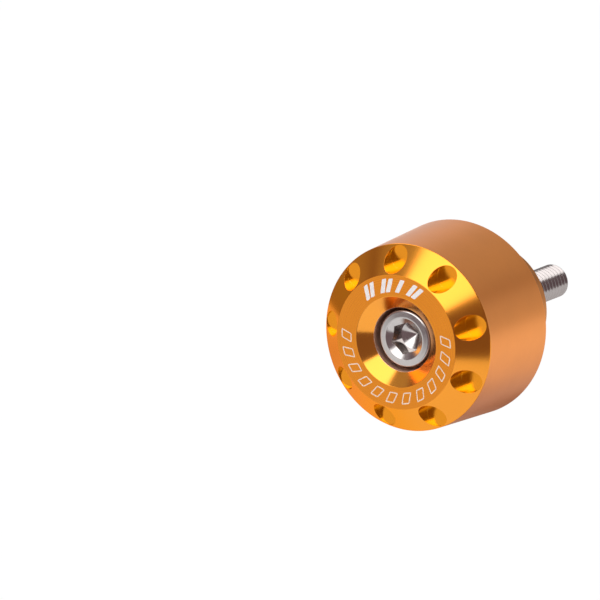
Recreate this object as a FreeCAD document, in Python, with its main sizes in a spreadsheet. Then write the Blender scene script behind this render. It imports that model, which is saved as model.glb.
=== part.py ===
import FreeCAD, Part
import os
import Sketcher

# Bar end weight with its fixing screw, in millimetres.
# The turned axis lies along Y. The outer face looks towards -Y and the screw's tip towards +Y.
# The origin is the centre of the neck's end face, which meets the end of the handlebar.
# Each piece is drawn along its own +Y from its outer end, then placed on that axis.

# Driving sizes: name, value, what it measures
SIZES = [
    ("face_dia", 23.5, "flat outer face"),
    ("bevel_dia", 32.7, "outer end of the polished bevel"),
    ("bevel_depth", 4.0, "face to the outer end of the bevel"),
    ("rim_dia", 34.2, "rear rim, the widest place"),
    ("rim_depth", 21.6, "face to the rear shoulder"),
    ("neck_dia", 21.6, "neck behind the shoulder"),
    ("neck_length", 10.8, "shoulder to the neck's end face"),
    ("countersink_dia", 15.8, "countersink at the face"),
    ("countersink_depth", 2.1, "face to the mouth of the counterbore"),
    ("edge_break", 0.1, "turned edges of the face, bevel and rim"),
    ("dimple_count", 9, "milled dimples round the bevel"),
    ("dimple_dia", 4.3, "cutter that mills a dimple"),
    ("dimple_circle_dia", 28.0, "circle through the dimple centres"),
    ("dimple_depth", 4.0, "face to the flat floor of a dimple"),
    ("dimple_start_angle", 34.5, "first dimple, from +Z towards +X, in degrees"),
    ("head_recess", 2.6, "face to the top of the screw head"),
    ("head_clearance", 1.25, "counterbore diameter over the head diameter"),
    ("bore_clearance", 0.7, "through bore diameter over the thread diameter"),
    ("seat_chamfer", 0.8, "edge of the through bore under the head"),
    ("head_dia", 10.0, "screw head"),
    ("head_height", 6.0, "screw head, top to underside"),
    ("head_round", 0.6, "rounded top edge of the head"),
    ("under_head_round", 0.25, "fillet between head and shank"),
    ("shank_dia", 5.4, "reduced shank, a little under the thread"),
    ("screw_length", 45.0, "under the head to the tip"),
    ("thread_dia", 5.9, "crests of the thread"),
    ("thread_length", 21.0, "threaded end, up to the tip"),
    ("thread_pitch", 1.0, "one crest to the next"),
    ("tip_chamfer", 0.5, "chamfer on the tip"),
    ("socket_width", 5.0, "hexagon socket, across its flats"),
    ("socket_depth", 3.2, "top of the head to the end of the flats"),
    ("socket_mouth_dia", 7.3, "chamfered mouth of the socket"),
    ("socket_angle", 10.0, "turn of the socket about the axis, in degrees"),
]

HALF_CONE_TAN = "tan(60)"

# Form of an outside thread of 60 degrees, as shares of its pitch
CREST_FLAT_SHARE = 0.125
THREAD_DEPTH_SHARE = 0.6134
THREAD_FLANK_TAN = "tan(30)"

# Names of the axis and of the extent of each kind of pattern
PATTERNS = {
    "PolarPattern": ("Axis", "Angle"),
    "LinearPattern": ("Direction", "Length"),
}

doc = FreeCAD.newDocument("bar_end_weight")


# Sizes sheet
def make_sheet():
    sheet = doc.addObject("Spreadsheet::Sheet", "Sizes")
    for row, (alias, value, meaning) in enumerate(SIZES, start=1):
        sheet.set("A%d" % row, alias)
        sheet.set("B%d" % row, str(value))
        sheet.set("C%d" % row, meaning)
        sheet.setAlias("B%d" % row, alias)
    doc.recompute()
    return sheet


def size(expression):
    """Number that an expression of sheet sizes gives."""
    return float(sheet.evalExpression(expression))


# Helpers for bodies and sketches
def make_body(label, start):
    """Body whose own +Y starts at the given place on the shared axis."""
    body = doc.addObject("PartDesign::Body", label)
    body.Label = label
    body.setExpression("Placement.Base.y", start)
    return body


def make_sketch(body, name, plane, turn=None):
    """Sketch on one of the body's own origin planes, turned about the plane's normal if asked."""
    sketch = body.newObject("Sketcher::SketchObject", name)
    support = [f for f in body.Origin.OriginFeatures if f.Role == plane][0]
    sketch.AttachmentSupport = [(support, "")]
    sketch.MapMode = "FlatFace"
    if turn:
        sketch.setExpression("AttachmentOffset.Rotation.Angle", turn)
    return sketch


def bind(sketch, constraint, expression):
    """Add a dimension and tie it to the sheet."""
    index = sketch.addConstraint(constraint)
    sketch.setExpression("Constraints[%d]" % index, expression)


def draw_profile(sketch, corners):
    """Closed outline through corners given as (distance along the axis, radius) expressions."""
    places = [(size(along), size(radius)) for along, radius in corners]
    points = [FreeCAD.Vector(x, y, 0) for x, y in places]
    lines = []
    for here, there in zip(points, points[1:] + points[:1]):
        lines.append(sketch.addGeometry(Part.LineSegment(here, there), False))
    for line, following in zip(lines, lines[1:] + lines[:1]):
        sketch.addConstraint(Sketcher.Constraint("Coincident", line, 2, following, 1))
    for line, (along, radius) in zip(lines, corners):
        if along == "0":
            sketch.addConstraint(Sketcher.Constraint("PointOnObject", line, 1, -2))
        else:
            bind(sketch, Sketcher.Constraint("DistanceX", -1, 1, line, 1, size(along)), along)
        if radius == "0":
            sketch.addConstraint(Sketcher.Constraint("PointOnObject", line, 1, -1))
        else:
            bind(sketch, Sketcher.Constraint("DistanceY", -1, 1, line, 1, size(radius)), radius)


def turn_profile(body, kind, name, corners):
    """Revolution or Groove of a profile about the body's Y axis."""
    sketch = make_sketch(body, name + "_profile", "YZ_Plane")
    draw_profile(sketch, corners)
    feature = body.newObject("PartDesign::" + kind, name)
    feature.Profile = sketch
    feature.ReferenceAxis = (sketch, ["H_Axis"])
    feature.Angle = 360
    sketch.Visibility = False
    doc.recompute()
    return feature


def round_edges(feature, places):
    """Names of the feature's circular edges at the given (along, radius) places."""
    names = []
    for number, edge in enumerate(feature.Shape.Edges, start=1):
        if edge.Curve.TypeId != "Part::GeomCircle":
            continue
        for along, radius in places:
            on_place = abs(edge.Curve.Center.y - size(along)) < 1e-4
            on_axis = abs(edge.Curve.Center.x) + abs(edge.Curve.Center.z) < 1e-4
            if on_place and on_axis and abs(edge.Curve.Radius - size(radius)) < 1e-4:
                names.append("Edge%d" % number)
    if len(names) != len(places):
        raise ValueError("%s: %d edges found for %d places" % (feature.Name, len(names), len(places)))
    return names


def dress_edges(body, kind, name, base, places, property_name, expression):
    """Chamfer or Fillet of round edges, with its size tied to the sheet."""
    feature = body.newObject("PartDesign::" + kind, name)
    feature.Base = (base, round_edges(base, places))
    feature.setExpression(property_name, expression)
    doc.recompute()
    return feature


# Turned and milled aluminium weight
def make_weight():
    length = "(Sizes.rim_depth + Sizes.neck_length)"
    bore = "(Sizes.thread_dia + Sizes.bore_clearance) / 2"
    counterbore = "(Sizes.head_dia + Sizes.head_clearance) / 2"
    seat = "(Sizes.head_recess + Sizes.head_height)"
    body = make_body("weight_body", "-" + length)
    turned = turn_profile(body, "Revolution", "turned_section", [
        ("0", "Sizes.countersink_dia / 2"),
        ("0", "Sizes.face_dia / 2"),
        ("Sizes.bevel_depth", "Sizes.bevel_dia / 2"),
        ("Sizes.rim_depth", "Sizes.rim_dia / 2"),
        ("Sizes.rim_depth", "Sizes.neck_dia / 2"),
        (length, "Sizes.neck_dia / 2"),
        (length, bore),
        (seat + " + Sizes.seat_chamfer", bore),
        (seat, bore + " + Sizes.seat_chamfer"),
        (seat, counterbore),
        ("Sizes.countersink_depth", counterbore),
    ])
    edges = [
        ("0", "Sizes.face_dia / 2"),
        ("Sizes.bevel_depth", "Sizes.bevel_dia / 2"),
        ("Sizes.rim_depth", "Sizes.rim_dia / 2"),
    ]
    dress_edges(body, "Chamfer", "edge_breaks", turned, edges, "Size", "Sizes.edge_break")

    # One dimple is milled straight in from the face, then repeated round the axis
    circle_radius = "Sizes.dimple_circle_dia / 2"
    across = circle_radius + " * sin(Sizes.dimple_start_angle)"
    upward = circle_radius + " * cos(Sizes.dimple_start_angle)"
    sketch = make_sketch(body, "dimple_outline", "XZ_Plane")
    centre = FreeCAD.Vector(size(across), size(upward), 0)
    axis = FreeCAD.Vector(0, 0, 1)
    circle = sketch.addGeometry(Part.Circle(centre, axis, size("Sizes.dimple_dia / 2")), False)
    bind(sketch, Sketcher.Constraint("DistanceX", -1, 1, circle, 3, centre.x), across)
    bind(sketch, Sketcher.Constraint("DistanceY", -1, 1, circle, 3, centre.y), upward)
    bind(sketch, Sketcher.Constraint("Diameter", circle, size("Sizes.dimple_dia")), "Sizes.dimple_dia")
    dimple = cut_pocket(body, "dimple", sketch, "Sizes.dimple_depth")
    repeat_cut(body, "PolarPattern", "dimple_ring", dimple, (sketch, ["N_Axis"]), "360", "Sizes.dimple_count")
    return body


def cut_pocket(body, name, sketch, depth):
    """Pocket towards the body's +Y, checked to have cut something."""
    before = body.Shape.Volume
    pocket = body.newObject("PartDesign::Pocket", name)
    pocket.Profile = sketch
    pocket.setExpression("Length", depth)
    sketch.Visibility = False
    doc.recompute()
    if pocket.Shape.Volume > before - 1e-3:
        raise ValueError(name + " cuts nothing")
    return pocket


def repeat_cut(body, kind, name, cut, axis, extent, count):
    """Pattern of the body's last cut, checked to take as much away each time."""
    axis_name, extent_name = PATTERNS[kind]
    whole = cut.BaseFeature.Shape.Volume
    pattern = body.newObject("PartDesign::" + kind, name)
    pattern.Originals = [cut]
    setattr(pattern, axis_name, axis)
    pattern.setExpression(extent_name, extent)
    pattern.setExpression("Occurrences", count)
    body.Tip = pattern
    doc.recompute()
    cut_once = whole - cut.Shape.Volume
    cut_away = whole - pattern.Shape.Volume
    if abs(cut_away - cut_once * size(count)) > 0.01 * cut_away:
        raise ValueError("%s doesn't cut as much each time" % name)


# Socket head cap screw
def make_screw():
    seat_end = "(Sizes.head_height + Sizes.screw_length)"
    thread_start = "(%s - Sizes.thread_length)" % seat_end
    body = make_body("cap_screw", "Sizes.head_recess - Sizes.rim_depth - Sizes.neck_length")
    blank = turn_profile(body, "Revolution", "screw_blank", [
        ("0", "0"),
        ("0", "Sizes.head_dia / 2"),
        ("Sizes.head_height", "Sizes.head_dia / 2"),
        ("Sizes.head_height", "Sizes.shank_dia / 2"),
        (thread_start, "Sizes.shank_dia / 2"),
        (thread_start, "Sizes.thread_dia / 2"),
        (seat_end + " - Sizes.tip_chamfer", "Sizes.thread_dia / 2"),
        (seat_end, "Sizes.thread_dia / 2 - Sizes.tip_chamfer"),
        (seat_end, "0"),
    ])
    top_edge = [("0", "Sizes.head_dia / 2")]
    rounded = dress_edges(body, "Fillet", "head_edge", blank, top_edge, "Radius", "Sizes.head_round")
    root_edge = [("Sizes.head_height", "Sizes.shank_dia / 2")]
    dress_edges(body, "Fillet", "under_head", rounded, root_edge, "Radius", "Sizes.under_head_round")

    # Hexagon socket, with its first corner on the sketch's own X axis
    sketch = make_sketch(body, "socket_outline", "XZ_Plane", "Sizes.socket_angle")
    corner_radius = "Sizes.socket_width / sqrt(3)"
    axis = FreeCAD.Vector(0, 0, 1)
    arm = FreeCAD.Vector(size(corner_radius), 0, 0)
    corners = [FreeCAD.Rotation(axis, 60 * step).multVec(arm) for step in range(6)]
    ring = sketch.addGeometry(Part.Circle(FreeCAD.Vector(), axis, arm.x), True)
    sketch.addConstraint(Sketcher.Constraint("Coincident", ring, 3, -1, 1))
    bind(sketch, Sketcher.Constraint("Radius", ring, arm.x), corner_radius)
    sides = []
    for here, there in zip(corners, corners[1:] + corners[:1]):
        sides.append(sketch.addGeometry(Part.LineSegment(here, there), False))
    for side, following in zip(sides, sides[1:] + sides[:1]):
        sketch.addConstraint(Sketcher.Constraint("Coincident", side, 2, following, 1))
        sketch.addConstraint(Sketcher.Constraint("PointOnObject", side, 2, ring))
    for side in sides[1:]:
        sketch.addConstraint(Sketcher.Constraint("Equal", sides[0], side))
    sketch.addConstraint(Sketcher.Constraint("PointOnObject", sides[0], 1, -1))
    cut_pocket(body, "hexagon_socket", sketch, "Sizes.socket_depth")

    # Cone that chamfers the mouth of the socket, and drill point at its bottom
    mouth = "Sizes.socket_mouth_dia / 2"
    drill = "Sizes.socket_width / 2"
    turn_profile(body, "Groove", "socket_mouth", [
        ("0", "0"),
        ("0", mouth),
        ("%s / %s" % (mouth, HALF_CONE_TAN), "0"),
    ])
    turn_profile(body, "Groove", "socket_bottom", [
        ("Sizes.socket_depth / 2", "0"),
        ("Sizes.socket_depth / 2", drill),
        ("Sizes.socket_depth", drill),
        ("Sizes.socket_depth + %s / %s" % (drill, HALF_CONE_TAN), "0"),
    ])
    cut_thread(body, thread_start)
    return body


def cut_thread(body, thread_start):
    """Thread drawn as rings of its true pitch and form, from its first crest to the tip's chamfer."""
    crest_flat = "(Sizes.thread_pitch * %s)" % CREST_FLAT_SHARE
    depth = "(Sizes.thread_pitch * %s)" % THREAD_DEPTH_SHARE
    flank = "(%s * %s)" % (depth, THREAD_FLANK_TAN)
    groove_start = "(%s + %s)" % (thread_start, crest_flat)
    groove_end = "(%s + Sizes.thread_pitch)" % thread_start
    crest_radius = "(Sizes.thread_dia / 2)"
    outside = "Sizes.head_dia / 2"
    groove = turn_profile(body, "Groove", "thread_groove", [
        (groove_start, crest_radius),
        ("%s + %s" % (groove_start, flank), "%s - %s" % (crest_radius, depth)),
        ("%s - %s" % (groove_end, flank), "%s - %s" % (crest_radius, depth)),
        (groove_end, crest_radius),
        (groove_end, outside),
        (groove_start, outside),
    ])
    room = "(Sizes.thread_length - Sizes.tip_chamfer - %s)" % crest_flat
    count = "floor(%s / Sizes.thread_pitch)" % room
    extent = "(%s - 1) * Sizes.thread_pitch" % count
    axis = (groove.Profile[0], ["H_Axis"])
    repeat_cut(body, "LinearPattern", "thread_rings", groove, axis, extent, count)


sheet = make_sheet()
pieces = [make_weight(), make_screw()]
doc.recompute()

for item in doc.Objects:
    faults = [state for state in item.State if state in ("Invalid", "Error")]
    if faults:
        raise ValueError("%s: %s" % (item.Name, faults))

os.makedirs("parts", exist_ok=True)
for piece in pieces:
    shape = piece.Shape
    if shape.isNull() or not shape.isValid() or len(shape.Solids) != 1:
        raise ValueError(piece.Label + " isn't one valid solid")
    shape.exportStep("parts/%s.step" % piece.Label)
    box = shape.optimalBoundingBox(True, False)
    print("%s: volume %.1f mm3, y %.3f to %.3f, width %.3f" % (
        piece.Label, shape.Volume, box.YMin, box.YMax, box.XLength))
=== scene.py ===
from math import atan2, cos, pi, radians, sin, tan

import bmesh
import bpy
from mathutils import Matrix, Vector
from mathutils.geometry import delaunay_2d_cdt


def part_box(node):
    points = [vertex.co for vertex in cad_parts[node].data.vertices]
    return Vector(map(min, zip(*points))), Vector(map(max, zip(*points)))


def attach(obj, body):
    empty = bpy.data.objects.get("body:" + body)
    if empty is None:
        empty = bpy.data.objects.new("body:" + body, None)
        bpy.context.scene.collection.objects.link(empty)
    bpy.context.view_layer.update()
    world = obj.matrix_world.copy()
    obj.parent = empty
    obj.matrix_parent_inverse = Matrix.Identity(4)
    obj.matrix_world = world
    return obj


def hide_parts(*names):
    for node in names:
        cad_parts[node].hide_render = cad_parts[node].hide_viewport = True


# Bar end weight with its cap screw. Sizes below are in millimetres and angles in degrees, as on a
# drawing, and depths are measured behind the outer face. Blender's own units are metres.
MM = 0.001

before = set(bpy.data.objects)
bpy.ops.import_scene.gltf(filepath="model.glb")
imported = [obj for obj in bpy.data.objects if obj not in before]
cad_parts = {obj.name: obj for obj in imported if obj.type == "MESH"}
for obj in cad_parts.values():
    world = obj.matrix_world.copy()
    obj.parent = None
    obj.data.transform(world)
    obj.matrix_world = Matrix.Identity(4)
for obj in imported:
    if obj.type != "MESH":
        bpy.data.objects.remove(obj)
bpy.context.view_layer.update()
weight_low, weight_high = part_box("weight_body")
screw_low, screw_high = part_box("cap_screw")

# Turned weight
FACE_Y = weight_low.y / MM
WEIGHT_LENGTH = (weight_high.y - weight_low.y) / MM
FACE_RADIUS = 11.75
BEVEL_RADIUS = 16.35
BEVEL_DEPTH = 4.0
RIM_RADIUS = 17.1
RIM_DEPTH = 21.6
RIM_CHAMFER = 0.18
SIDE_TAPER = (RIM_RADIUS - BEVEL_RADIUS) / (RIM_DEPTH - BEVEL_DEPTH)
NECK_RADIUS = 10.8
COUNTERSINK_RADIUS = 7.9
COUNTERSINK_DEPTH = 2.1
COUNTERBORE_RADIUS = 5.625
SEAT_DEPTH = 8.6
SEAT_CHAMFER = 0.8
BORE_RADIUS = 3.3

# Roundings of the weight's edges
EDGE_ROUND = 0.1
FACE_ROUND = 0.03
MOUTH_ROUND = 0.05
RIM_ROUND = 0.06
NECK_FILLET = 0.15

# Milled dimples
DIMPLES = 9
DIMPLE_RADIUS = 2.15
DIMPLE_CIRCLE = 14.0
DIMPLE_DEPTH = 4.0
DIMPLE_START = 34.5
DIMPLE_ROUND = 0.035
DIMPLE_MOUTH = DIMPLE_RADIUS + DIMPLE_ROUND

# Cap screw: head, which is flat in its middle and slopes a little to its edge, and shank
HEAD_TOP = (screw_low.y - weight_low.y) / MM
TIP_DEPTH = (screw_high.y - weight_low.y) / MM
HEAD_RADIUS = (screw_high.z - screw_low.z) / MM / 2
HEAD_HEIGHT = 6.0
HEAD_FLAT_RADIUS = 3.8
HEAD_FLAT_ROUND = 0.1
HEAD_SLOPE = 0.15
HEAD_ROUND = 0.38
HEAD_FOOT_ROUND = 0.08
UNDER_HEAD_ROUND = 0.25
SHANK_RADIUS = 2.7
SHANK_ROUND = 0.05
SHANK_CONE = 0.5

# Cap screw: hexagon socket, whose mouth and drilled bottom are cones with this half angle
SOCKET_WIDTH = 5.0
SOCKET_DEPTH = 3.2
SOCKET_MOUTH = 3.65
SOCKET_SIDES = 6
SOCKET_ANGLE = 10.0
CONE_ANGLE = 60.0
LIP_OUTSIDE = 0.03
LIP_INSIDE = 0.01
LIP_DEPTH = 0.02
LIP_NORMAL = (-0.9, -0.35)
WALL_ROUND = 0.04
DRILL_ROUND = 0.02

# Rings of the socket's mouth, as shares of the way from its rim to the flats
MOUTH_SHARES = (0.05, 0.97)

# Rings of the drilled bottom, as shares of the drill's radius: edge of the flat, start and end of the cone
DRILL_EDGE = 0.97
DRILL_CONE = 0.95
DRILL_POINT = 0.02

# Cap screw: thread, whose grooves run out over some pitches at its start and just before its tip.
# Its edges that are sharper than the sharp angle aren't smoothed.
THREAD_RADIUS = 2.95
THREAD_LENGTH = 21.0
THREAD_PITCH = 1.0
THREAD_HEIGHT = 0.61
THREAD_START = TIP_DEPTH - THREAD_LENGTH
RUN_OUT_PITCHES = 1.5
TIP_RUN_OUT = 0.25
TIP_CHAMFER = 0.5
THREAD_SHARP_ANGLE = 38.0

# Thread's form: share of the pitch, share of the thread's height below the crest
THREAD_FORM = [(0.0, 0.0), (0.10, 0.0), (0.15, 0.10), (0.40, 0.90), (0.47, 1.0),
               (0.63, 1.0), (0.70, 0.90), (0.95, 0.10)]

# Etched marking: plain slanted bars and plain outlined lozenges, with nothing to read
MARK_CIRCLE = 9.85
MARK_SLANT = 0.4
BAR_ANGLES = [-36.0, -29.0, -15.0, -8.0, 4.0, 18.0, 25.0]
BAR_WIDTH = 0.85
BAR_HEIGHT = 2.365
BAR_CORNER = 0.15
LOZENGES = 12
FIRST_LOZENGE = 83.0
LOZENGE_STEP = 17.0
LOZENGE_WIDTH = 1.6
LOZENGE_HEIGHT = 1.978
LOZENGE_CORNER = 0.25
LINE_WIDTH = 0.2

# Facets: how many steps the curves and rows are divided into
ARC_POINTS = 32
SIDE_POINTS = 20
BEVEL_STEPS = 6
MOUTH_STEPS = 4
FLOOR_STEPS = 2
EDGE_STEPS = 4
SCREW_EDGE_STEPS = 6
SOCKET_STEPS = 12
THREAD_STEPS = 72
CORNER_STEPS = 6

# Tolerances: how near two vertices of the thread (in metres), two depths or two places count as one
WELD_DISTANCE = 1e-7
SAME_DEPTH = 1e-4
SAME_PLACE = 1e-6


# Shader nodes
def new_material(name):
    material = bpy.data.materials.new(name)
    material.use_nodes = True
    tree = material.node_tree
    return material, tree, tree.nodes["Principled BSDF"]


def node(tree, kind, **settings):
    """New shader node. Each setting is the name of an input, or else of a property."""
    made = tree.nodes.new("ShaderNode" + kind)
    for key, value in settings.items():
        if key in made.inputs:
            made.inputs[key].default_value = value
        else:
            setattr(made, key, value)
    return made


def math_node(tree, operation, first, second=None):
    made = node(tree, "Math", operation=operation)
    for socket, value in zip(made.inputs, (first, second)):
        if isinstance(value, (int, float)):
            socket.default_value = value
        elif value is not None:
            tree.links.new(value, socket)
    return made.outputs[0]


def map_range(tree, source, from_low=0.0, from_high=1.0, to_low=0.0, to_high=1.0, interpolation="LINEAR"):
    made = node(tree, "MapRange", interpolation_type=interpolation)
    names = ("From Min", "From Max", "To Min", "To Max")
    for name, value in zip(names, (from_low, from_high, to_low, to_high)):
        made.inputs[name].default_value = value
    tree.links.new(source, made.inputs["Value"])
    return made.outputs[0]


def colour_ramp(tree, source, low, low_colour, high, high_colour):
    made = node(tree, "ValToRGB")
    first, last = made.color_ramp.elements
    first.position, first.color = low, (*low_colour, 1)
    last.position, last.color = high, (*high_colour, 1)
    tree.links.new(source, made.inputs[0])
    return made.outputs[0]


def mix_shader(tree, share, first, second):
    made = node(tree, "MixShader")
    for socket, source in zip(made.inputs, (share, first, second)):
        tree.links.new(source, socket)
    return made.outputs[0]


def noise(tree, scale, detail, roughness):
    """Noise that is fixed to the object."""
    place = node(tree, "TexCoord")
    made = node(tree, "TexNoise", Scale=scale, Detail=detail, Roughness=roughness)
    tree.links.new(place.outputs["Object"], made.inputs["Vector"])
    return made.outputs[0]


def turning_marks(tree, per_mm, seed):
    """Noise that changes only along the axis and outwards from it, so it draws fine turned rings."""
    place = node(tree, "TexCoord")
    split = node(tree, "SeparateXYZ")
    tree.links.new(place.outputs["Object"], split.inputs[0])
    across = math_node(tree, "MULTIPLY", split.outputs["X"], split.outputs["X"])
    upward = math_node(tree, "MULTIPLY", split.outputs["Z"], split.outputs["Z"])
    radius = math_node(tree, "SQRT", math_node(tree, "ADD", across, upward))
    combine = node(tree, "CombineXYZ", Z=seed)
    tree.links.new(math_node(tree, "MULTIPLY", split.outputs["Y"], per_mm / MM), combine.inputs["X"])
    tree.links.new(math_node(tree, "MULTIPLY", radius, per_mm / MM), combine.inputs["Y"])
    rings = node(tree, "TexNoise", Scale=1.0, Detail=3.0, Roughness=0.7)
    tree.links.new(combine.outputs[0], rings.inputs["Vector"])
    return rings.outputs[0]


def set_tones(tree, shader, source, base, darker, low):
    """Base colour that a noise varies, from a darker tone at its low values to the full one."""
    dark = [channel * (1 - darker) for channel in base]
    tones = colour_ramp(tree, source, low, dark, 1 - low, base)
    tree.links.new(tones, shader.inputs["Base Color"])


def set_roughness(tree, shader, source, low, high):
    tree.links.new(map_range(tree, source, to_low=low, to_high=high), shader.inputs["Roughness"])


def set_bump(tree, shader, source, strength, height):
    bump = node(tree, "Bump", Strength=strength, Distance=height * MM)
    tree.links.new(source, bump.inputs["Height"])
    tree.links.new(bump.outputs[0], shader.inputs["Normal"])


# Finishes
def anodised(name, base, roughness, ring_strength, ring_scale, blotch, coat, edge_tint):
    """Gold anodised aluminium: dyed metal under a clear oxide layer, with fine turned rings."""
    material, tree, shader = new_material(name)
    rings = turning_marks(tree, per_mm=ring_scale, seed=3.0)
    clouds = noise(tree, scale=180.0, detail=4.0, roughness=0.6)
    set_tones(tree, shader, clouds, base, darker=blotch, low=0.3)
    set_roughness(tree, shader, rings, low=roughness * 0.85, high=roughness * 1.15)
    set_bump(tree, shader, rings, strength=ring_strength, height=0.02)
    shader.inputs["Metallic"].default_value = 1.0
    shader.inputs["Specular Tint"].default_value = (*edge_tint, 1)
    shader.inputs["Coat Weight"].default_value = coat
    shader.inputs["Coat Roughness"].default_value = roughness * 0.8
    shader.inputs["Coat IOR"].default_value = 1.5
    return material


def steel(name, base, roughness):
    """Bright stainless steel with faint wear and drawing marks."""
    material, tree, shader = new_material(name)
    rings = turning_marks(tree, per_mm=9.0, seed=8.0)
    clouds = noise(tree, scale=900.0, detail=5.0, roughness=0.65)
    set_tones(tree, shader, clouds, base, darker=0.14, low=0.25)
    set_roughness(tree, shader, clouds, low=roughness * 0.7, high=roughness * 1.4)
    set_bump(tree, shader, rings, strength=0.15, height=0.02)
    shader.inputs["Metallic"].default_value = 1.0
    return material


def etched(name, base):
    """Laser etched marking: the dye is burnt away and leaves a pale matt surface."""
    material, tree, shader = new_material(name)
    grain = noise(tree, scale=6000.0, detail=3.0, roughness=0.6)
    set_tones(tree, shader, grain, base, darker=0.1, low=0.3)
    set_bump(tree, shader, grain, strength=0.3, height=0.01)
    shader.inputs["Roughness"].default_value = 0.6
    return material


MATERIALS = {
    "face": anodised("gold_face", base=(0.92, 0.30, 0.02), roughness=0.28, ring_strength=0.05,
                     ring_scale=8.0, blotch=0.05, coat=0.25, edge_tint=(1.0, 0.6, 0.3)),
    "satin": anodised("gold_satin", base=(0.94, 0.32, 0.052), roughness=0.33, ring_strength=0.08,
                      ring_scale=6.0, blotch=0.05, coat=0.7, edge_tint=(1.0, 0.8, 0.65)),
    # Rim's edge: paler, pinker gold, partly a worn bright edge and partly a painted highlight along the rim
    "edge": anodised("gold_edge_wear_and_highlight", base=(0.95, 0.52, 0.30), roughness=0.38, ring_strength=0.04,
                     ring_scale=6.0, blotch=0.05, coat=0.6, edge_tint=(1.0, 0.9, 0.8)),
    # Neck: darker, browner copy of the satin gold, a painted shade for the neck lying behind the rim
    "neck": anodised("gold_neck_painted_shade", base=(0.60, 0.23, 0.06), roughness=0.30, ring_strength=0.08,
                     ring_scale=6.0, blotch=0.05, coat=0.3, edge_tint=(1.0, 0.8, 0.65)),
    "polished": anodised("gold_polished", base=(0.95, 0.35, 0.035), roughness=0.18, ring_strength=0.08,
                         ring_scale=10.0, blotch=0.03, coat=0.15, edge_tint=(1.0, 0.5, 0.25)),
    "countersink": anodised("gold_countersink", base=(0.97, 0.37, 0.04), roughness=0.14, ring_strength=0.08,
                            ring_scale=10.0, blotch=0.03, coat=0.35, edge_tint=(1.0, 0.8, 0.6)),
    # Seat and counterbore wall: paler, pinker gold, a painted reflection of the screw's head
    "bore": anodised("gold_bore_painted_reflection", base=(1.0, 0.70, 0.56), roughness=0.55, ring_strength=0.05,
                     ring_scale=6.0, blotch=0.05, coat=0.0, edge_tint=(1.0, 0.8, 0.6)),
    # Dimple walls: lighter, yellower copy of the gold, a painted highlight for the bright light they catch
    # and bounce
    "dimple_wall": anodised("gold_dimple_wall_painted_highlight", base=(1.0, 0.84, 0.15), roughness=0.20, ring_strength=0.04,
                            ring_scale=10.0, blotch=0.03, coat=0.0, edge_tint=(1.0, 0.8, 0.3)),
    "dimple_floor": anodised("gold_dimple_floor", base=(0.90, 0.32, 0.02), roughness=0.20, ring_strength=0.04,
                             ring_scale=10.0, blotch=0.03, coat=0.0, edge_tint=(1.0, 0.5, 0.2)),
    "steel": steel("stainless_steel", base=(0.62, 0.585, 0.57), roughness=0.16),
    # Thread: darker copy of the steel, a painted shade for the dark shadowed floor its underside reflects
    "thread": steel("thread_steel_painted_shade", base=(0.44, 0.40, 0.39), roughness=0.16),
    "etched": etched("etched_marking", base=(0.95, 0.92, 0.90)),
    "etched_line": etched("etched_outline", base=(0.93, 0.76, 0.60)),
}


# Meshes
def add_object(name, mesh):
    made = bpy.data.objects.new(name, mesh)
    bpy.context.scene.collection.objects.link(made)
    return made


class Surface:
    """Mesh under construction whose vertices each carry their own true normal."""

    def __init__(self, slots):
        self.points = []
        self.normals = []
        self.faces = []
        self.slots = slots
        self.face_slots = []

    def add(self, along, across, upward, normal):
        """Vertex at a depth behind the face and a place across it, with its normal in the same order."""
        self.points.append(Vector((across, FACE_Y + along, upward)) * MM)
        self.normals.append(Vector((normal[1], normal[0], normal[2])).normalized())
        return len(self.points) - 1

    def add_turned(self, along, radius, normal, angle):
        """Vertex at a radius and an angle from straight up. The normal is given as (along, outwards)."""
        across, upward = sin(angle), cos(angle)
        turned = (normal[0], normal[1] * across, normal[1] * upward)
        return self.add(along, radius * across, radius * upward, turned)

    def loop(self, along, radius, normal, angles):
        """Ring of vertices round the axis."""
        return [self.add_turned(along, radius, normal, angle) for angle in angles]

    def face(self, corners, slot):
        """Polygon between vertices. A repeated corner is dropped, and fewer than three make no polygon."""
        distinct = list(dict.fromkeys(corners))
        if len(distinct) > 2:
            self.faces.append(distinct)
            self.face_slots.append(self.slots.index(slot))

    def band(self, first, second, slot, closed=True):
        """Quads between two rows of as many vertices."""
        count = len(first)
        for k in range(count if closed else count - 1):
            after = (k + 1) % count
            self.face((first[k], first[after], second[after], second[k]), slot)

    def build(self, name):
        mesh = bpy.data.meshes.new(name)
        mesh.from_pydata(self.points, [], self.faces)
        for slot in self.slots:
            mesh.materials.append(MATERIALS[slot])
        for polygon, slot in zip(mesh.polygons, self.face_slots):
            polygon.material_index = slot
            polygon.use_smooth = True
        turn_faces_out(mesh, self.normals)
        mesh.normals_split_custom_set_from_vertices(self.normals)
        return add_object(name, mesh)


def turn_faces_out(mesh, normals):
    """Turn over each polygon that winds against its vertices' normals."""
    for polygon in mesh.polygons:
        wanted = sum((normals[v] for v in polygon.vertices), Vector())
        if polygon.normal.dot(wanted) < 0:
            polygon.flip()
    mesh.update()


def bend(start, corner, end, share):
    """Place along a rounded corner, at a share of the way from its start to its end."""
    return start * (1 - share) ** 2 + corner * 2 * share * (1 - share) + end * share ** 2


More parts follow.
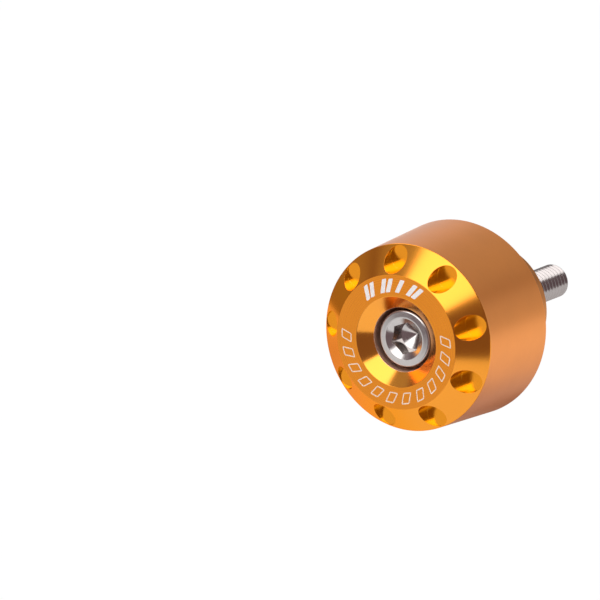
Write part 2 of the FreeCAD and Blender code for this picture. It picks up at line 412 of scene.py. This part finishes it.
def rounded_profile(corners, steps):
    """Profile points with normals from corners (depth, radius, rounding, slot).

    The slot is that of the surface that starts at the corner. Each point is
    (depth, radius, normal along, normal outwards, slot).
    """
    flats = []
    for here, there in zip(corners, corners[1:]):
        run = Vector((there[0] - here[0], there[1] - here[1])).normalized()
        flats.append((run, Vector((-run.y, run.x))))
    points = [(corners[0][0], corners[0][1], *flats[0][1], corners[0][3])]
    for k in range(1, len(corners) - 1):
        corner = Vector(corners[k][:2])
        before, after = flats[k - 1], flats[k]
        start = corner - before[0] * corners[k][2]
        end = corner + after[0] * corners[k][2]
        for step in range(steps + 1):
            share = step / steps
            place = bend(start, corner, end, share)
            normal = (before[1] * (1 - share) + after[1] * share).normalized()
            slot = corners[k][3] if share == 1 else corners[k - 1][3]
            points.append((*place, *normal, slot))
    last = corners[-1]
    points.append((last[0], last[1], *flats[-1][1], last[3]))
    return points


def lathe(surface, profile, angles, first):
    """Rings of a profile, joined by bands. The first point's ring is given. Returns the last ring."""
    ring = first
    for before, (along, radius, normal_along, normal_out, _) in zip(profile, profile[1:]):
        following = surface.loop(along, radius, (normal_along, normal_out), angles)
        surface.band(ring, following, before[4])
        ring = following
    return ring


# Detailed weight
SECTOR = 2 * pi / DIMPLES
BEVEL_SLOPE = BEVEL_DEPTH / (BEVEL_RADIUS - FACE_RADIUS)
BEVEL_RUN = Vector((BEVEL_DEPTH, BEVEL_RADIUS - FACE_RADIUS)).normalized()


def sector_outline(inner, outer):
    """Points round one sector of the bevel as (angle from its middle, radius)."""
    half = SECTOR / 2
    outline = [(-half + SECTOR * k / ARC_POINTS, inner) for k in range(ARC_POINTS)]
    outline += [(half, inner + (outer - inner) * k / SIDE_POINTS) for k in range(SIDE_POINTS)]
    outline += [(half - SECTOR * k / ARC_POINTS, outer) for k in range(ARC_POINTS)]
    outline += [(-half, outer - (outer - inner) * k / SIDE_POINTS) for k in range(SIDE_POINTS)]
    return outline


def bevel_depth_at(radius):
    return (radius - FACE_RADIUS) * BEVEL_SLOPE


def bevel_normal(place):
    """Normal of the bevel's cone above a place across the face."""
    outward = place.normalized() * BEVEL_RUN.x
    return Vector((-BEVEL_RUN.y, outward.x, outward.y))


def bevel_rows(surface, outline, outward, centre):
    """Rows across the bevel, from the sector's outline to the dimple's mouth."""
    rows = []
    for step in range(BEVEL_STEPS + 1):
        row = []
        for place, way in zip(outline, outward):
            spot = place.lerp(centre + way * DIMPLE_MOUTH, step / BEVEL_STEPS)
            row.append(surface.add(bevel_depth_at(spot.length), spot.x, spot.y, bevel_normal(spot)))
        rows.append(row)
    return rows


def mouth_rows(surface, outward, centre):
    """Rows over the rounding from the bevel into the dimple's wall."""
    rows = []
    for step in range(1, MOUTH_STEPS + 1):
        share = step / MOUTH_STEPS
        row = []
        for way in outward:
            edge = centre + way * DIMPLE_RADIUS
            corner = Vector((bevel_depth_at(edge.length), DIMPLE_RADIUS))
            start = Vector((bevel_depth_at((centre + way * DIMPLE_MOUTH).length), DIMPLE_MOUTH))
            depth, reach = bend(start, corner, corner + Vector((DIMPLE_ROUND, 0)), share)
            normal = bevel_normal(edge) * (1 - share) + Vector((0, -way.x, -way.y)) * share
            place = centre + way * reach
            row.append(surface.add(depth, place.x, place.y, normal))
        rows.append(row)
    return rows


def floor_rows(surface, outward, centre):
    """Rows over the rounding from the dimple's wall into its flat floor."""
    rows = []
    for step in range(FLOOR_STEPS + 1):
        share = step / FLOOR_STEPS
        depth = DIMPLE_DEPTH - DIMPLE_ROUND * (1 - share) ** 2
        reach = DIMPLE_RADIUS - DIMPLE_ROUND * share ** 2
        row = []
        for way in outward:
            place = centre + way * reach
            normal = (-share, -way.x * (1 - share), -way.y * (1 - share))
            row.append(surface.add(depth, place.x, place.y, normal))
        rows.append(row)
    return rows


def dimple_sector(surface, middle, inner, outer):
    """One sector of the bevel with its dimple. Returns its inner and outer rows of vertices."""
    centre = Vector((sin(middle), cos(middle))) * DIMPLE_CIRCLE
    outline = [Vector((sin(middle + a), cos(middle + a))) * r for a, r in sector_outline(inner, outer)]
    outward = [(place - centre).normalized() for place in outline]
    rows = bevel_rows(surface, outline, outward, centre)
    rows += mouth_rows(surface, outward, centre)
    rows += floor_rows(surface, outward, centre)
    slots = ["polished"] * (BEVEL_STEPS + MOUTH_STEPS) + ["dimple_wall"] * FLOOR_STEPS + ["dimple_floor"]
    for first, second, slot in zip(rows, rows[1:], slots):
        surface.band(first, second, slot)
    floor_middle = surface.add(DIMPLE_DEPTH, centre.x, centre.y, (-1, 0, 0))
    surface.band(rows[-1], [floor_middle] * len(outline), "dimple_floor")
    outer_start = ARC_POINTS + SIDE_POINTS
    inner_row = rows[0][:ARC_POINTS + 1]
    outer_row = rows[0][outer_start:outer_start + ARC_POINTS + 1]
    return inner_row, outer_row[::-1]


def slanted_outline(angle, width, height, corner):
    """Closed rounded outline standing on the marking circle, as places across the face."""
    middle = radians(angle)
    outline = []
    for side_x, side_y, start in ((1, 1, 0), (-1, 1, 90), (-1, -1, 180), (1, -1, 270)):
        for step in range(CORNER_STEPS + 1):
            turn = radians(start + 90 / CORNER_STEPS * step)
            y = side_y * (height / 2 - corner) + corner * sin(turn)
            x = side_x * (width / 2 - corner) + corner * cos(turn) + MARK_SLANT * y
            out = MARK_CIRCLE + y
            outline.append(Vector((sin(middle) * out + cos(middle) * x, cos(middle) * out - sin(middle) * x)))
    return outline


def marking_outlines():
    """List of (outlines from the outside in, slot)."""
    marks = [([slanted_outline(angle, BAR_WIDTH, BAR_HEIGHT, BAR_CORNER)], "etched") for angle in BAR_ANGLES]
    for k in range(LOZENGES):
        angle = FIRST_LOZENGE + LOZENGE_STEP * k
        outer = slanted_outline(angle, LOZENGE_WIDTH, LOZENGE_HEIGHT, LOZENGE_CORNER)
        inner = slanted_outline(angle, LOZENGE_WIDTH - 2 * LINE_WIDTH, LOZENGE_HEIGHT - 2 * LINE_WIDTH,
                                LOZENGE_CORNER - LINE_WIDTH)
        marks.append(([outer, inner], "etched_line"))
    return marks


def inside(place, outline):
    """Whether a place lies inside a closed outline."""
    x, y = place
    within = False
    for (x1, y1), (x2, y2) in zip(outline, outline[1:] + outline[:1]):
        if (y1 > y) != (y2 > y) and x < (x2 - x1) * (y - y1) / (y2 - y1) + x1:
            within = not within
    return within


def face_slot(place, marks):
    """Finish of the face at a place: a mark's own inside its outer outline but not its inner one."""
    for outlines, slot in marks:
        if sum(inside(place, outline) for outline in outlines) == 1:
            return slot
    return "face"


def closed_edges(start, count):
    """Edges round a closed outline whose places are numbered from the start."""
    return [(start + k, start + (k + 1) % count) for k in range(count)]


def marked_face(surface, outer_ring, inner_ring):
    """Flat face between two rings, divided along the outlines of the etched marking."""
    count = len(outer_ring)
    ring_vertices = outer_ring + inner_ring
    places = [Vector((surface.points[v].x, surface.points[v].z)) / MM for v in ring_vertices]
    edges = closed_edges(0, count) + closed_edges(count, count)
    marks = marking_outlines()
    for outlines, _ in marks:
        for outline in outlines:
            edges += closed_edges(len(places), len(outline))
            places += outline
    spots, _, faces, sources, _, _ = delaunay_2d_cdt(places, edges, [], 0, SAME_PLACE)

    numbers = []
    for spot, source in zip(spots, sources):
        if source and source[0] < len(ring_vertices):
            numbers.append(ring_vertices[source[0]])
        else:
            numbers.append(surface.add(0, spot.x, spot.y, (-1, 0, 0)))
    for face in faces:
        in_bore = all(sources[v] and count <= sources[v][0] < 2 * count for v in face)
        if not in_bore:
            middle = sum((spots[v] for v in face), Vector((0, 0))) / len(face)
            surface.face([numbers[v] for v in face], face_slot(middle, marks))


def dimpled_bevel(surface, start):
    """Bevel with its dimples, sector by sector. Returns its inner and outer rings of vertices."""
    inner_radius = FACE_RADIUS + FACE_ROUND * BEVEL_RUN.y
    outer_radius = BEVEL_RADIUS - EDGE_ROUND * BEVEL_RUN.y
    inner_ring, outer_ring = [], []
    for sector in range(DIMPLES):
        middle = start + SECTOR * (sector + 0.5)
        inner_row, outer_row = dimple_sector(surface, middle, inner_radius, outer_radius)
        inner_ring += inner_row[:-1]
        outer_ring += outer_row[:-1]
    return inner_ring, outer_ring


def rear_profile():
    """From the bevel's outer edge over side, rim, neck, end face, bore and seat to the countersink's mouth.

    The first and last corners only give the directions in which the profile starts and ends.
    """
    return rounded_profile([
        (0, FACE_RADIUS, 0, "polished"),
        (BEVEL_DEPTH, BEVEL_RADIUS, EDGE_ROUND, "satin"),
        # Rim's edge rounding: the pale edge finish, partly a painted highlight
        (RIM_DEPTH - RIM_CHAMFER, RIM_RADIUS - RIM_CHAMFER * SIDE_TAPER, RIM_ROUND, "edge"),
        (RIM_DEPTH, RIM_RADIUS - RIM_CHAMFER, RIM_ROUND, "satin"),
        # Neck and end face: the darker neck finish, a painted shade
        (RIM_DEPTH, NECK_RADIUS, NECK_FILLET, "neck"),
        (WEIGHT_LENGTH, NECK_RADIUS, EDGE_ROUND, "neck"),
        (WEIGHT_LENGTH, BORE_RADIUS, EDGE_ROUND, "satin"),
        (SEAT_DEPTH + SEAT_CHAMFER, BORE_RADIUS, MOUTH_ROUND, "satin"),
        (SEAT_DEPTH, BORE_RADIUS + SEAT_CHAMFER, MOUTH_ROUND, "bore"),
        (SEAT_DEPTH, COUNTERBORE_RADIUS, MOUTH_ROUND, "bore"),
        (COUNTERSINK_DEPTH, COUNTERBORE_RADIUS, MOUTH_ROUND, "countersink"),
        (0, COUNTERSINK_RADIUS, MOUTH_ROUND, "face"),
        (0, FACE_RADIUS, 0, "face"),
    ], EDGE_STEPS)[1:-1]


def front_profile():
    """Fine rounding from the bevel to the face. It runs inwards, so its normals are turned over."""
    profile = rounded_profile([
        (BEVEL_DEPTH, BEVEL_RADIUS, 0, "polished"),
        (0, FACE_RADIUS, FACE_ROUND, "face"),
        (0, COUNTERSINK_RADIUS, 0, "face"),
    ], EDGE_STEPS)[1:-1]
    return [(depth, radius, -along, -out, "face") for depth, radius, along, out, _ in profile]


def build_weight():
    surface = Surface(["satin", "edge", "neck", "face", "polished", "countersink", "bore", "dimple_wall",
                       "dimple_floor", "etched", "etched_line"])
    start = radians(DIMPLE_START) - SECTOR / 2
    angles = [start + SECTOR * k / ARC_POINTS for k in range(DIMPLES * ARC_POINTS)]
    inner_ring, outer_ring = dimpled_bevel(surface, start)
    mouth_ring = lathe(surface, rear_profile(), angles, first=outer_ring)
    face_ring = lathe(surface, front_profile(), angles, first=inner_ring)
    marked_face(surface, face_ring, mouth_ring)
    return surface.build("weight_detail")


weight = build_weight()
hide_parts("weight_body")
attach(weight, "root")


# Detailed screw
SIDE_SWEEP = 2 * pi / SOCKET_SIDES
CONE_SPREAD = tan(radians(CONE_ANGLE))
CONE_NORMAL = (-sin(radians(CONE_ANGLE)), -cos(radians(CONE_ANGLE)))


def socket_angle(step):
    """Angle of a vertex, counted in steps round the socket from its first corner."""
    return radians(SOCKET_ANGLE) + SIDE_SWEEP * step / SOCKET_STEPS


def hexagon_radius(angle):
    """Distance from the axis to the socket's flats in one direction."""
    from_corner = (angle - radians(SOCKET_ANGLE)) % SIDE_SWEEP
    return SOCKET_WIDTH / 2 / cos(from_corner - SIDE_SWEEP / 2)


def cone_depth(radius):
    """Depth of the socket's conical mouth at a radius."""
    return HEAD_TOP + (SOCKET_MOUTH - radius) / CONE_SPREAD


def screw_outside(surface, angles):
    """Head, shank and the cone up to the thread. Returns the ring round the socket's mouth."""
    seat = HEAD_TOP + HEAD_HEIGHT
    profile = rounded_profile([
        (HEAD_TOP, SOCKET_MOUTH, 0, "steel"),
        (HEAD_TOP, HEAD_FLAT_RADIUS, HEAD_FLAT_ROUND, "steel"),
        (HEAD_TOP + HEAD_SLOPE, HEAD_RADIUS, HEAD_ROUND, "steel"),
        (seat, HEAD_RADIUS, HEAD_FOOT_ROUND, "steel"),
        (seat, SHANK_RADIUS, UNDER_HEAD_ROUND, "steel"),
        (THREAD_START - SHANK_CONE, SHANK_RADIUS, SHANK_ROUND, "thread"),
        (THREAD_START, THREAD_RADIUS, 0, "thread"),
    ], SCREW_EDGE_STEPS)
    mouth_ring = surface.loop(HEAD_TOP, SOCKET_MOUTH + LIP_OUTSIDE, (-1, 0), angles)
    lathe(surface, profile, angles, first=mouth_ring)
    return mouth_ring


def socket_mouth(surface, angles, mouth_ring):
    """Lip and cone down to the scalloped meeting with the hexagon. Returns the lowest row."""
    ring = surface.loop(HEAD_TOP + LIP_DEPTH, SOCKET_MOUTH - LIP_INSIDE, LIP_NORMAL, angles)
    surface.band(mouth_ring, ring, "steel")
    for share in MOUTH_SHARES:
        row = []
        for angle in angles:
            radius = SOCKET_MOUTH + (hexagon_radius(angle) - SOCKET_MOUTH) * share
            row.append(surface.add_turned(cone_depth(radius), radius, CONE_NORMAL, angle))
        surface.band(ring, row, "steel")
        ring = row
    return ring


def socket_walls(surface, scallops):
    """Flat walls, each with its own normals, below the cone's scalloped edge."""
    for side in range(SOCKET_SIDES):
        steps = range(side * SOCKET_STEPS, (side + 1) * SOCKET_STEPS + 1)
        middle = socket_angle((side + 0.5) * SOCKET_STEPS)
        inward = (0, -sin(middle), -cos(middle))
        edge = [scallops[step % len(scallops)] for step in steps]
        top, bottom = [], []
        for angle in map(socket_angle, steps):
            radius = hexagon_radius(angle)
            across, upward = radius * sin(angle), radius * cos(angle)
            top.append(surface.add(cone_depth(radius) + WALL_ROUND, across, upward, inward))
            bottom.append(surface.add(HEAD_TOP + SOCKET_DEPTH, across, upward, inward))
        surface.band(edge, top, "steel", closed=False)
        surface.band(top, bottom, "steel", closed=False)


def socket_bottom(surface, angles):
    """Flat corners of the hexagon and the drill's conical point between them."""
    depth = HEAD_TOP + SOCKET_DEPTH
    drill = SOCKET_WIDTH / 2
    flat_outer = [surface.add_turned(depth, hexagon_radius(angle), (-1, 0), angle) for angle in angles]
    flat_inner = surface.loop(depth, drill * DRILL_EDGE, (-1, 0), angles)
    cone_top = surface.loop(depth + DRILL_ROUND, drill * DRILL_CONE, CONE_NORMAL, angles)
    end_depth = depth + drill * DRILL_CONE / CONE_SPREAD
    cone_end = surface.loop(end_depth, drill * DRILL_POINT, CONE_NORMAL, angles)
    surface.band(flat_outer, flat_inner, "steel")
    surface.band(flat_inner, cone_top, "steel")
    surface.band(cone_top, cone_end, "steel")
    surface.face(cone_end, "steel")


def build_screw():
    surface = Surface(["steel", "thread"])
    angles = [socket_angle(step) for step in range(SOCKET_SIDES * SOCKET_STEPS)]
    mouth_ring = screw_outside(surface, angles)
    scallops = socket_mouth(surface, angles, mouth_ring)
    socket_walls(surface, scallops)
    socket_bottom(surface, angles)
    return surface.build("cap_screw_detail")


def thread_radius(depth, drop):
    """Thread's radius at a depth, for a share of its height below the crest."""
    from_start = (depth - THREAD_START) / (RUN_OUT_PITCHES * THREAD_PITCH)
    from_tip = (TIP_DEPTH - depth) / TIP_RUN_OUT
    groove = min(from_start, from_tip, 1)
    chamfer = THREAD_RADIUS - TIP_CHAMFER + TIP_DEPTH - depth
    return min(THREAD_RADIUS - THREAD_HEIGHT * drop * groove, chamfer)


def thread_row(mesh, pitches, drop):
    """One turn of vertices, some pitches past the thread's start and kept between the thread's ends."""
    row = []
    for k in range(THREAD_STEPS + 1):
        wound = THREAD_START + THREAD_PITCH * (pitches + k / THREAD_STEPS)
        depth = min(max(wound, THREAD_START), TIP_DEPTH)
        radius = thread_radius(depth, drop)
        angle = 2 * pi * k / THREAD_STEPS
        place = Vector((radius * sin(angle), FACE_Y + depth, radius * cos(angle)))
        row.append(mesh.verts.new(place * MM))
    return row


def close_tip(mesh):
    """Flat polygon over the vertices at the thread's tip."""
    tip = [vertex for vertex in mesh.verts if abs(vertex.co.y / MM - FACE_Y - TIP_DEPTH) < SAME_DEPTH]
    tip.sort(key=lambda vertex: atan2(vertex.co.x, vertex.co.z))
    mesh.faces.new(tip)


def build_thread():
    """Helical thread from the shank to the chamfered tip."""
    mesh = bmesh.new()
    turns = range(-1, int(THREAD_LENGTH / THREAD_PITCH) + 2)
    rows = [thread_row(mesh, turn + share, drop) for turn in turns for share, drop in THREAD_FORM]
    for first, second in zip(rows, rows[1:]):
        for k in range(THREAD_STEPS):
            mesh.faces.new((first[k], first[k + 1], second[k + 1], second[k]))
    bmesh.ops.remove_doubles(mesh, verts=mesh.verts, dist=WELD_DISTANCE)
    close_tip(mesh)
    bmesh.ops.recalc_face_normals(mesh, faces=mesh.faces)
    data = bpy.data.meshes.new("thread_detail")
    mesh.to_mesh(data)
    mesh.free()
    data.materials.append(MATERIALS["thread"])
    for polygon in data.polygons:
        polygon.use_smooth = True
    data.set_sharp_from_angle(angle=radians(THREAD_SHARP_ANGLE))
    return add_object("thread_detail", data)


screw = build_screw()
thread = build_thread()
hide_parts("cap_screw")
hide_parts("cap_screw")
for piece in (screw, thread):
    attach(piece, "root")


# Stage, in metres: a pale floor below the part, with a soft studio around it
FLOOR_Z = -0.10
FLOOR_FRONT = -0.18
FLOOR_BACK = 1.3
FLOOR_SIDE = 0.9
FLOOR_GLOW = 0.95
WHITE = (1, 1, 1)

# Painted shadow that the metal sees on the floor, as dim patches tinted with a painted gold reflection of the
# part. Each is an ellipse: centre and half width along X and Y.
# A patch is full up to the first share of its half width and gone at the second.
FLOOR_SHADES = [((-0.14, 0.21), (0.24, 0.14)), ((0.05, 0.05), (0.08, 0.05)),
                ((-0.21, 0.42), (0.16, 0.22)), ((-0.03, 0.14), (0.05, 0.06))]
SHADE_FADE = (0.3, 1.3)
# Tint and level of the patches: a painted shadow of the part, tinted with a painted gold reflection of it
SHADE_AND_GOLD_REFLECTION_COLOUR = (1.0, 0.5, 0.3)
SHADE_LEVEL = 0.25


def floor_shade(tree):
    """Socket that is 1 in the middle of a dim patch and 0 away from all of them."""
    place = node(tree, "TexCoord")
    split = node(tree, "SeparateXYZ")
    tree.links.new(place.outputs["Object"], split.inputs[0])
    nearest = None
    for centre, reach in FLOOR_SHADES:
        squares = []
        for axis in (0, 1):
            away = math_node(tree, "SUBTRACT", split.outputs[axis], centre[axis])
            away = math_node(tree, "DIVIDE", away, reach[axis])
            squares.append(math_node(tree, "MULTIPLY", away, away))
        total = math_node(tree, "ADD", *squares)
        nearest = total if nearest is None else math_node(tree, "MINIMUM", nearest, total)
    return map_range(tree, math_node(tree, "SQRT", nearest), *SHADE_FADE, to_low=1.0, to_high=0.0,
                     interpolation="SMOOTHSTEP")


def floor_material():
    """Pale floor that camera, glossy and transmission rays see as white with a trace of its shadow.

    Glossy rays also see the dim patches: a painted shadow of the part, tinted with a painted gold reflection
    of it.
    """
    material, tree, shader = new_material("floor_white")
    shader.inputs["Base Color"].default_value = (0.9, 0.9, 0.9, 1)
    shader.inputs["Roughness"].default_value = 0.9
    shader.inputs["Specular IOR Level"].default_value = 0.0
    path = node(tree, "LightPath")
    glossy = path.outputs["Is Glossy Ray"]
    seen = math_node(tree, "MAXIMUM", path.outputs["Is Camera Ray"], glossy)
    seen = math_node(tree, "MAXIMUM", seen, path.outputs["Is Transmission Ray"])
    glow = node(tree, "Emission", Color=(*WHITE, 1), Strength=1.0)
    glow_share = math_node(tree, "MULTIPLY", seen, FLOOR_GLOW)
    white = mix_shader(tree, glow_share, shader.outputs[0], glow.outputs[0])
    shade = node(tree, "Emission", Color=(*SHADE_AND_GOLD_REFLECTION_COLOUR, 1), Strength=SHADE_LEVEL)
    shaded = math_node(tree, "MULTIPLY", glossy, floor_shade(tree))
    both = mix_shader(tree, shaded, white, shade.outputs[0])
    tree.links.new(both, tree.nodes["Material Output"].inputs["Surface"])
    return material


def build_floor():
    corners = [(-FLOOR_SIDE, FLOOR_FRONT, FLOOR_Z), (FLOOR_SIDE, FLOOR_FRONT, FLOOR_Z),
               (FLOOR_SIDE, FLOOR_BACK, FLOOR_Z), (-FLOOR_SIDE, FLOOR_BACK, FLOOR_Z)]
    mesh = bpy.data.meshes.new("floor")
    mesh.from_pydata(corners, [], [(0, 1, 2, 3)])
    mesh.materials.append(floor_material())
    return add_object("floor", mesh)


floor = build_floor()


def direction(azimuth, elevation):
    """Unit vector from the object, with azimuth 0 in front of its face and growing towards +X."""
    turn, lift = radians(azimuth), radians(elevation)
    return Vector((sin(turn) * cos(lift), -cos(turn) * cos(lift), sin(lift)))


# Soft boxes and pale walls of the studio: azimuth, elevation, inner and outer radius in degrees, level.
# Elsewhere the studio is dim and tinted, and it is untinted from the pale level up.
STUDIO_LIGHTS = [
    (-5, 51, 13, 23, 2.4),
    (20, 52, 25, 30, 2.4),
    (-12, 26, 14, 24, 2.4),
    (-34, -21, 13, 21, 0.93),
    (-60, 55, 10, 30, 0.42),
    (-100, 8, 12, 34, 0.38),
    (-146, 8, 15, 40, 0.66),
    (180, 38, 20, 45, 0.46),
    (147, 2, 10, 23, 0.68),
    (-112, 58, 13, 23, 2.4),
    (150, 82, 13, 23, 2.4),
    (84, 60, 13, 23, 2.4),
]
STUDIO_DIM = 0.22
STUDIO_PALE = 0.45
DIM_COLOUR = (1.0, 0.72, 0.76)


def studio_level(tree):
    """Socket for the brightness of the studio in each direction."""
    place = node(tree, "TexCoord")
    level = None
    for azimuth, elevation, inner, outer, brightness in STUDIO_LIGHTS:
        dot = node(tree, "VectorMath", operation="DOT_PRODUCT")
        tree.links.new(place.outputs["Generated"], dot.inputs[0])
        dot.inputs[1].default_value = direction(azimuth, elevation)
        fade = map_range(tree, dot.outputs["Value"], cos(radians(outer)), cos(radians(inner)),
                         STUDIO_DIM, brightness, "SMOOTHSTEP")
        level = fade if level is None else math_node(tree, "MAXIMUM", level, fade)
    return level


def build_world():
    """Studio that lights the part, and plain white for the camera past the floor."""
    world = bpy.data.worlds.new("studio")
    world.use_nodes = True
    tree = world.node_tree
    level = studio_level(tree)
    studio = tree.nodes["Background"]
    tree.links.new(level, studio.inputs["Strength"])
    tint = colour_ramp(tree, level, STUDIO_DIM, DIM_COLOUR, STUDIO_PALE, WHITE)
    tree.links.new(tint, studio.inputs["Color"])
    white = node(tree, "Background", Color=(*WHITE, 1), Strength=1.0)
    path = node(tree, "LightPath")
    both = mix_shader(tree, path.outputs["Is Camera Ray"], studio.outputs[0], white.outputs[0])
    tree.links.new(both, tree.nodes["World Output"].inputs["Surface"])
    return world


bpy.context.scene.world = build_world()

# Camera, worked out from the photograph: where it stands from the face's centre, in degrees and
# metres, its focal length and the face's centre in the frame, in pixels
CAMERA_AZIMUTH = 31.076
CAMERA_ELEVATION = 13.376
CAMERA_DISTANCE = 3.57336
FOCAL_PIXELS = 20949.3
IMAGE_SIZE = 600
FACE_PIXEL = (395.62, 341.57)
SENSOR_WIDTH = 36


def build_camera():
    back = direction(CAMERA_AZIMUTH, CAMERA_ELEVATION)
    right = Vector((cos(radians(CAMERA_AZIMUTH)), sin(radians(CAMERA_AZIMUTH)), 0))
    upward = back.cross(right)
    middle = (IMAGE_SIZE - 1) / 2
    offset_right, offset_down = [(pixel - middle) / FOCAL_PIXELS * CAMERA_DISTANCE for pixel in FACE_PIXEL]
    face_centre = Vector((0, weight_low.y, 0))
    place = face_centre - right * offset_right + upward * offset_down + back * CAMERA_DISTANCE
    data = bpy.data.cameras.new("camera")
    data.sensor_width = SENSOR_WIDTH
    data.lens = FOCAL_PIXELS / IMAGE_SIZE * SENSOR_WIDTH
    data.clip_start = 0.1
    data.clip_end = 20
    made = add_object("camera", data)
    made.matrix_world = Matrix.Translation(place) @ Matrix((right, upward, back)).transposed().to_4x4()
    return made


bpy.context.scene.camera = build_camera()
bpy.context.scene.view_settings.view_transform = "Standard"
